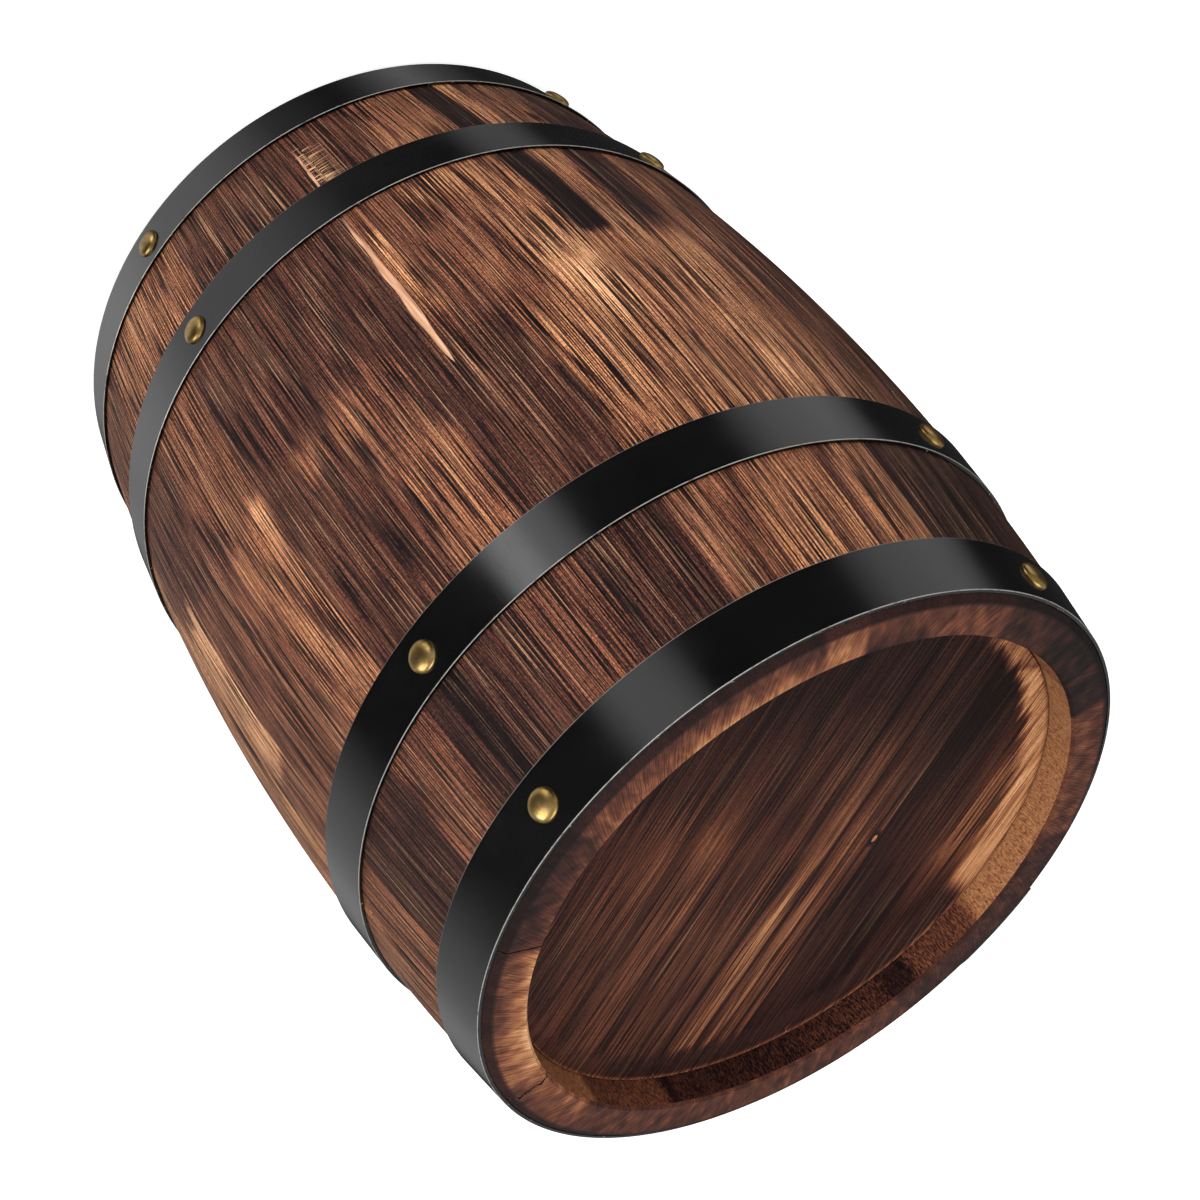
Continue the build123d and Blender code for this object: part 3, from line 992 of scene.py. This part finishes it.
def makeHeads():
    disc = headSection()
    spinSection(disc, 0, 360, headSet["steps"])
    tidyNormals(disc)
    grain = {"hairlines": 0.26, "pores": 0.18, "sheen": 0.06}
    wood = woodMaterial("headBoards", alongHead, headTone, headContrast, **grain)
    turn = radians(headSet["grainAngle"])
    across = Vector((-sin(turn), cos(turn), 0))
    edges = (-1,) + headSet["joints"] + (1,)
    for number, (near, far) in enumerate(zip(edges, edges[1:]), start=1):
        board = copyPiece(disc, f"wood_top_head_board_{number}")
        choose(board)
        bpy.ops.object.mode_set(mode="EDIT")
        for place, clearInner in ((near, True), (far, False)):
            if abs(place) < 1:
                bpy.ops.mesh.select_all(action="SELECT")
                bpy.ops.mesh.bisect(
                    plane_co=across * place,
                    plane_no=across,
                    use_fill=True,
                    clear_inner=clearInner,
                    clear_outer=not clearInner,
                )
        leaveEdit()
        flat = barrel["length"] - headSet["recess"]

        def onJoint(first, second):
            if min(first.z, second.z) <= flat - headSet["jointDepth"]:
                return False
            for place in headSet["joints"]:
                if all(abs(p.dot(across) - place) < headSet["jointSlack"] for p in (first, second)):
                    return True
            return False

        bevelEdges(board, onJoint, headSet["jointBevel"], 1)
        tidyNormals(board)
        board.data.materials.append(wood)
        twin = copyPiece(board, f"wood_bottom_head_board_{number}")
        flip = Matrix.Translation((0, 0, barrel["length"])) @ Matrix.Diagonal((1, 1, -1, 1))
        twin.data.transform(flip)
        tidyNormals(twin)
        if number == 1:
            place = Vector((*headSet["tapHole"], headSet["tapStart"]))
            radii = (headSet["tapRadius"], headSet["tapRadius"])
            cutAway(twin, makeBore(place, Vector((0, 0, 1)), radii, headSet["tapReach"]))
        for piece, end in ((board, "top"), (twin, "bottom")):
            mask, tone = [], []
            spill = headSet["tornEdge"]
            coveStart = headSet["radius"] - headSet["coveWidth"]
            for vertex in piece.data.vertices:
                radius = vertex.co.xy.length
                angle = degrees(atan2(vertex.co.y, vertex.co.x))
                mask.append((radius - coveStart + spill) / (headSet["coveWidth"] + spill))
                lip = ringTone(lipMarks, angle, 2, headSet["lipTone"], headSet["lipSoft"])
                # painted highlight: a thin lighter line along the very edge of the lip
                inLipHighlight = radius > headSet["radius"] - headSet["lipHighlightWidth"]
                tone.append(lip + (headSet["lipHighlightTone"] - lip) * (1 if inLipHighlight else 0))
            setField(piece.data, "coveMask", "FLOAT", mask)
            setField(piece.data, "coveToneAndLipHighlight", "FLOAT", tone)
            smoothPiece(piece, 30)
            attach(piece, "barrel")
            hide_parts(f"{end}_head_board_{number}")
    bpy.data.objects.remove(disc)


makeHeads()
print("heads done")

# hoops
hoopSet = {
    "width": 0.020,
    "thickness": 0.0011,
    "gap": 0.0002,
    "edgeBevel": 0.0002,
    "lapAngle": 112,
    "lapLength": 0.034,
    "lapGap": 0.0001,
    "joggle": 0.007,
    "joggleSteps": 8,
    "lapSteps": 16,
    "step": 1.0,  # degrees
    "wornCorner": (0.4, 0.9),  # how far its faces lean outwards
}
lapLift = hoopSet["thickness"] + hoopSet["lapGap"]
hoopEdges = {
    "bottom_head_hoop": 0.0018,
    "bottom_quarter_hoop": 0.0632,
    "top_quarter_hoop": barrel["length"] - 0.0832,
    "top_head_hoop": barrel["length"] - 0.0218,
}
nailSet = {
    "angles": (22, 112, 202, 292),
    "lapNail": 1,
    "radius": 0.0051,
    "height": 0.0021,
    "rim": 0.0002,
    "rivetRadius": 0.0032,
    "rivetHeight": 0.0013,
    "rivetSpacing": 0.022,
    "rows": 12,
    "steps": 48,
    "flatness": 0.9,  # of the domes, fuller than an ellipse below 1
}


def makeHoopPaint():
    material, tree, shader = newMaterial("hoopPaint")
    coord = objectCoord(tree)
    cloud = noiseField(coord, (40.0, 40.0, 40.0), 3.0)
    scratch = noiseField(coord, (1600.0, 1600.0, 22.0), 2.0)
    dent = noiseField(coord, (25.0, 25.0, 18.0), 1.0)
    colour = ramp(cloud, [(0.3, tint("050505")), (0.7, tint("090909"))])
    across = fieldNode(tree, "edge", "Fac")
    edge = mathNode("ABSOLUTE", across)
    chip = noiseField(coord, (420.0, 420.0, 420.0), 4.0, 0.7)
    worn = plus(chip, remap(edge, 0.94, 1.0, 0.0, 0.16))
    worn = remap(worn, 0.8, 0.86)
    paintedEdgeHighlight = remap(across, -0.966, -0.98, 0.0, 0.6)  # painted highlight: a thin grey line along the lower edge of the strip, where its rounded edge catches the light
    colour = mixTint(paintedEdgeHighlight, colour, tint("6e6d6a"))
    colour = mixTint(worn, colour, tint("a9a7a2"))
    gloss = remap(cloud, 0.3, 0.7, 0.13, 0.19)
    gloss = plus(gloss, remap(scratch, 0.55, 0.75, 0.0, 0.05))
    dress(shader, colour, gloss, times(worn, 0.8))
    shader.inputs["Specular IOR Level"].default_value = 0.5
    addBump(shader, dent, 0.05, 0.001)
    return material


def makeHoopEdge():  # cut edge of the strip, bare and scuffed
    material, tree, shader = newMaterial("hoopBareEdge")
    coord = objectCoord(tree)
    flake = noiseField(coord, (260.0, 260.0, 260.0), 4.0, 0.65)
    bare = remap(flake, 0.3, 0.48)
    colour = mixTint(bare, tint("3c3c3a"), tint("969490"))
    rough = remap(flake, 0.3, 0.7, 0.5, 0.35)
    dress(shader, colour, rough, times(bare, 0.4))
    addBump(shader, flake, 0.3, 0.0003)
    return material


hoopPaint = makeHoopPaint()
hoopEdge = makeHoopEdge()


def hoopCorners(lowEdge, lift=0.0):  # inner low, outer low, outer high, inner high
    highEdge = lowEdge + hoopSet["width"]
    low = staveRadius(lowEdge) + hoopSet["gap"] + lift
    high = staveRadius(highEdge) + hoopSet["gap"] + lift
    thick = hoopSet["thickness"]
    return [(low, lowEdge), (low + thick, lowEdge), (high + thick, highEdge), (high, highEdge)]


def makeHoop(name, lowEdge):
    inLow, outLow, outHigh, inHigh = hoopCorners(lowEdge)
    bevel = hoopSet["edgeBevel"]
    slope = (outHigh[0] - outLow[0]) / hoopSet["width"]
    section = [
        inLow,
        (outLow[0] - bevel, outLow[1]),
        (outLow[0] + slope * bevel, outLow[1] + bevel),
        (outHigh[0] - slope * bevel, outHigh[1] - bevel),
        (outHigh[0] - bevel, outHigh[1]),
        inHigh,
    ]
    hoop = drawSection("strip_" + name, section)
    middle = staveRadius(lowEdge + hoopSet["width"] / 2)
    lapTurn = degrees(hoopSet["lapLength"] / middle)
    joggleTurn = degrees(hoopSet["joggle"] / middle)
    start = hoopSet["lapAngle"] - lapTurn / 2
    turn = 360 - joggleTurn
    spinSection(hoop, start, turn, round(turn / hoopSet["step"]))
    angle = start + turn
    steps = hoopSet["joggleSteps"]
    step = radians(joggleTurn / steps)
    bpy.ops.object.mode_set(mode="EDIT")  # the end of the strip is still selected
    for i in range(steps):
        bpy.ops.mesh.extrude_region_move(TRANSFORM_OT_translate={"value": (0, 0, 0)})
        bpy.ops.transform.rotate(value=-step, orient_axis="Z", center_override=(0, 0, 0))
        angle += joggleTurn / steps
        climb = lapLift * (cos(pi * i / steps) - cos(pi * (i + 1) / steps)) / 2
        way = (climb * cos(radians(angle)), climb * sin(radians(angle)), 0)
        bpy.ops.transform.translate(value=way)
    lap = -radians(lapTurn)
    bpy.ops.mesh.spin(steps=hoopSet["lapSteps"], angle=lap, center=(0, 0, 0), axis=(0, 0, 1))
    leaveEdit()
    tidyNormals(hoop, merge=False)
    hoop.data.materials.append(hoopPaint)
    hoop.data.materials.append(hoopEdge)
    least, most = hoopSet["wornCorner"]
    for face in hoop.data.polygons:
        outwards = face.normal.x * face.center.x + face.normal.y * face.center.y
        if least < outwards / face.center.xy.length < most:
            face.material_index = 1
    edge = []
    for vertex in hoop.data.vertices:
        edge.append(2 * (vertex.co.z - lowEdge) / hoopSet["width"] - 1)  # -1 to 1 across the strip
    setField(hoop.data, "edge", "FLOAT", edge)
    smoothPiece(hoop, 25)
    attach(hoop, "barrel")
    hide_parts(name)


def seatMatrix(lowEdge, angle, lift=0.0):  # on the outside of a hoop at mid width, Z outwards
    inLow, low, high, inHigh = hoopCorners(lowEdge, lift)
    slope = atan2(low[0] - high[0], high[1] - low[1])
    middle = ((low[0] + high[0]) / 2, (low[1] + high[1]) / 2)
    place = Matrix.Translation((middle[0], 0, middle[1])) @ Matrix.Rotation(pi / 2 - slope, 4, "Y")
    return Matrix.Rotation(radians(angle), 4, "Z") @ place


for hoopName, lowEdge in hoopEdges.items():
    makeHoop(hoopName, lowEdge)
print("hoops done")


# domed nails and the rivets of the laps
def makeDome(name, radius, height, rim, finish):
    points = [(0, 0), (radius, 0), (radius, rim)]
    rows = nailSet["rows"]
    for i in range(1, rows + 1):
        turn = pi / 2 * i / rows
        wide = radius * cos(turn) ** nailSet["flatness"] if i < rows else 0
        points.append((wide, rim + (height - rim) * sin(turn)))
    dome = drawSection(name, points, filled=False)
    spinSection(dome, 0, 360, nailSet["steps"])
    tidyNormals(dome)
    dome.data.materials.append(finish)
    smoothPiece(dome, 50)
    return dome


def makeBrass():
    material, tree, shader = newMaterial("antiqueBrass")
    coord = objectCoord(tree)
    cloud = noiseField(coord, (260.0, 260.0, 260.0), 4.0, 0.6)
    spot = noiseField(coord, (1100.0, 1100.0, 1100.0), 3.0, 0.6)
    colour = ramp(cloud, [(0.3, tint("7d6438")), (0.5, tint("a98a53")), (0.72, tint("c9ac76"))])
    stain = remap(spot, 0.62, 0.75, 0.0, 0.5)
    colour = mixTint(stain, colour, tint("2e2413"))
    metal = remap(stain, 0.0, 0.7, 1.0, 0.6)
    dress(shader, colour, remap(cloud, 0.3, 0.7, 0.4, 0.28), metal)
    addBump(shader, plus(cloud, spot), 0.08, 0.0003)
    return material


def makeNails():
    brass = makeBrass()
    dome = makeDome("nailDome", nailSet["radius"], nailSet["height"], nailSet["rim"], brass)
    for hoopName, lowEdge in hoopEdges.items():
        nails = []
        for i, angle in enumerate(nailSet["angles"]):
            nail = copyPiece(dome, f"nail_{hoopName}_{i}")
            lift = lapLift if i == nailSet["lapNail"] else 0.0
            nail.data.transform(seatMatrix(lowEdge, angle, lift))
            nails.append(nail)
        nails = joinPieces(nails, f"domes_{hoopName}")
        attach(nails, "barrel")
        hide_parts(f"{hoopName}_nails")
    bpy.data.objects.remove(dome)


def makeRivets():
    dome = makeDome("rivetDome", nailSet["rivetRadius"], nailSet["rivetHeight"], nailSet["rim"], hoopPaint)
    setField(dome.data, "edge", "FLOAT", [0.0] * len(dome.data.vertices))
    rivets = []
    for hoopName, lowEdge in hoopEdges.items():
        middle = staveRadius(lowEdge + hoopSet["width"] / 2)
        reach = degrees(nailSet["rivetSpacing"] / 2 / middle)
        for side in (-reach, reach):
            rivet = copyPiece(dome, f"rivet_{hoopName}")
            rivet.data.transform(seatMatrix(lowEdge, hoopSet["lapAngle"] + side, lapLift))
            rivets.append(rivet)
    rivets = joinPieces(rivets, "lapRivetHeads")
    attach(rivets, "barrel")
    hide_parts("lap_rivets")
    bpy.data.objects.remove(dome)


makeNails()
makeRivets()
print("nails and rivets done")

# bung
bungSet = {
    "radius": 0.0135,
    "tipRadius": 0.0122,
    "depth": 0.024,
    "rise": 0.0044,
    "chamfer": 0.0014,
    "groove": 0.0003,
    "rings": (0.72, 0.45),  # left by turning, shares of the radius
    "rounding": (0.4, 0.3),  # of the chamfer
}


def makeBungWood():
    material, tree, shader = newMaterial("turnedBung")
    coord = objectCoord(tree)
    across, out, along = splitAxes(coord)
    up = minus(along, barrel["length"] / 2)
    centred = joinAxes(across, up, times(out, 0.1))
    names = ("Vector", "Scale", "Distortion", "Detail")
    kind = {"wave_type": "RINGS", "rings_direction": "SPHERICAL"}
    ring = addNode("TexWave", (centred, 130.0, 2.5, 2.0), names, **kind).outputs["Fac"]
    fibre = noiseField(coord, (700.0, 60.0, 700.0), 3.0)
    shade = plus(times(ring, 0.4), times(fibre, 0.6))
    colour = ramp(shade, [(0.2, tint("5a3820")), (0.5, tint("8a5d38")), (0.8, tint("b98a58"))])
    dress(shader, colour, remap(fibre, 0.2, 0.8, 0.65, 0.45))
    addBump(shader, shade, 0.3, 0.0004)
    return material


def makeBung():
    slope = (bungSet["radius"] - bungSet["tipRadius"]) / bungSet["depth"]
    topRadius = bungSet["radius"] + slope * bungSet["rise"]
    low, high, cut = -bungSet["depth"], bungSet["rise"], bungSet["chamfer"]
    groove = bungSet["groove"]
    points = [(0, low), (bungSet["tipRadius"] - cut, low), (bungSet["tipRadius"], low + cut)]
    inwards, down = bungSet["rounding"]
    points += [(topRadius, high - cut), (topRadius - cut * inwards, high - cut * down)]
    points.append((topRadius - cut, high))
    for share in bungSet["rings"]:
        radius = topRadius * share
        points += [(radius + groove, high), (radius, high - groove), (radius - groove, high)]
    points.append((0, high))
    plugPiece = drawSection("bungPlug", points, filled=False)
    spinSection(plugPiece, 0, 360, roundSteps)
    place = Matrix.Translation((0, barrel["bilgeRadius"], barrel["length"] / 2))
    plugPiece.data.transform(place @ Matrix.Rotation(-pi / 2, 4, "X"))
    tidyNormals(plugPiece)
    plugPiece.data.materials.append(makeBungWood())
    smoothPiece(plugPiece, 30)
    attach(plugPiece, "stopper")
    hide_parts("bung")


makeBung()


dowelWood = makeBareWood("dowelWood")
for node in ("top_head_dowels", "bottom_head_dowels"):
    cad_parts[node].data.materials.clear()
    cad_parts[node].data.materials.append(dowelWood)
print("bung and dowels done")

# floor, light and camera
stageSet = {"floorSize": 14.0, "floorTint": "f4f4f2", "floorGlow": 0.55}
lightSet = {
    "key": {"place": (-0.1, -1.6, 0.35), "size": 0.9, "power": 26.0, "mirrored": False},
    "top": {"place": (0.1, 0.1, 1.5), "size": 1.2, "power": 12.0, "mirrored": True},
    "left": {"place": (1.3, -0.8, 0.5), "size": 0.8, "power": 10.0, "mirrored": True},
}
skySet = {
    "above": 0.5,
    "below": 0.03,
    "horizon": (-0.02, 0.1),
    "sideSoft": (1.3, 0.5),  # of the half width of a softbox
    "lowSoft": 0.06,
    "highSoft": 0.08,
}
# softboxes that only the gloss sees: azimuth, half width, lowest and highest tilt in degrees, glow
skyPanels = [
    (-81, 6, -44, -22, 2.3),
    (-88, 11, -44, -22, 2.0),
    (-87, 12, -20, -6, 1.5),
    (-176, 19, -44, -8, 1.0),
    (28, 32, -46, -14, 0.58),
    (-35, 62, -90, -46, 0.62),
    (25, 40, -90, -46, 0.42),
    (-182, 13, -66, -52, 0.5),
    (-202, 16, -84, -66, 0.6),
    (-75, 60, -90, -66, 0.3),
]
cameraSet = {
    "place": (0.0, -0.60701, 0.65213),
    "aim": (-0.0037, 0.0, 0.1798),
    "roll": 141.559,
    "lens": 66.154,
    "sensor": 36.0,
}


def makeFloor():
    bpy.ops.object.select_all(action="DESELECT")
    bpy.ops.mesh.primitive_plane_add(size=stageSet["floorSize"], location=(0, 0, 0))
    floor = bpy.context.object
    floor.name = "floor"
    material, tree, shader = newMaterial("paleFloor")
    shader.inputs["Base Color"].default_value = tint(stageSet["floorTint"])
    shader.inputs["Roughness"].default_value = 0.9
    shader.inputs["Specular IOR Level"].default_value = 0.0
    shader.inputs["Emission Color"].default_value = (1, 1, 1, 1)
    shader.inputs["Emission Strength"].default_value = stageSet["floorGlow"]
    floor.data.materials.append(material)
    floor.visible_glossy = False


def makeSky():
    world = bpy.data.worlds.new("studio")
    bpy.context.scene.world = world
    world.use_nodes = True
    tree = world.node_tree
    way = splitAxes(tree.nodes.new("ShaderNodeTexCoord").outputs["Generated"])
    azimuth = mathNode("ARCTAN2", way[1], way[0])
    glow = remap(way[2], *skySet["horizon"], skySet["below"], skySet["above"])
    wide, narrow = skySet["sideSoft"]
    lowSoft, highSoft = skySet["lowSoft"], skySet["highSoft"]
    for middle, halfWidth, lowTilt, highTilt, strength in skyPanels:
        turn = mathNode("COSINE", minus(azimuth, radians(middle)))
        mask = remap(turn, cos(radians(halfWidth * wide)), cos(radians(halfWidth * narrow)))
        low, high = sin(radians(lowTilt)), sin(radians(highTilt))
        mask = times(mask, remap(way[2], low - lowSoft, low + lowSoft))
        mask = times(mask, remap(way[2], high + highSoft, high - highSoft))
        glow = plus(glow, times(mask, strength))
    seen = tree.nodes.new("ShaderNodeLightPath").outputs["Is Camera Ray"]
    glow = plus(glow, seen)  # plain white behind the floor
    plug(glow, tree.nodes["Background"].inputs["Strength"])
    tree.nodes["Background"].inputs["Color"].default_value = (1, 1, 1, 1)


def makeLights():
    for name, values in lightSet.items():
        data = bpy.data.lights.new(name, "AREA")
        data.shape = "SQUARE"
        data.size = values["size"]
        data.energy = values["power"]
        lamp = bpy.data.objects.new(name + "Softbox", data)
        bpy.context.collection.objects.link(lamp)
        lamp.location = values["place"]
        lamp.visible_glossy = values["mirrored"]
        aim = Vector((0, 0, barrel["length"] / 2)) - lamp.location
        lamp.rotation_euler = aim.to_track_quat("-Z", "Y").to_euler()


def makeCamera():
    data = bpy.data.cameras.new("photoCamera")
    data.lens = cameraSet["lens"]
    data.sensor_width = cameraSet["sensor"]
    camera = bpy.data.objects.new("photoCamera", data)
    bpy.context.collection.objects.link(camera)
    camera.location = cameraSet["place"]
    look = (Vector(cameraSet["aim"]) - camera.location).to_track_quat("-Z", "Y")
    camera.rotation_euler = (look @ Quaternion((0, 0, 1), radians(cameraSet["roll"]))).to_euler()
    bpy.context.scene.camera = camera


makeFloor()
makeSky()
makeLights()
makeCamera()
print("stage done")
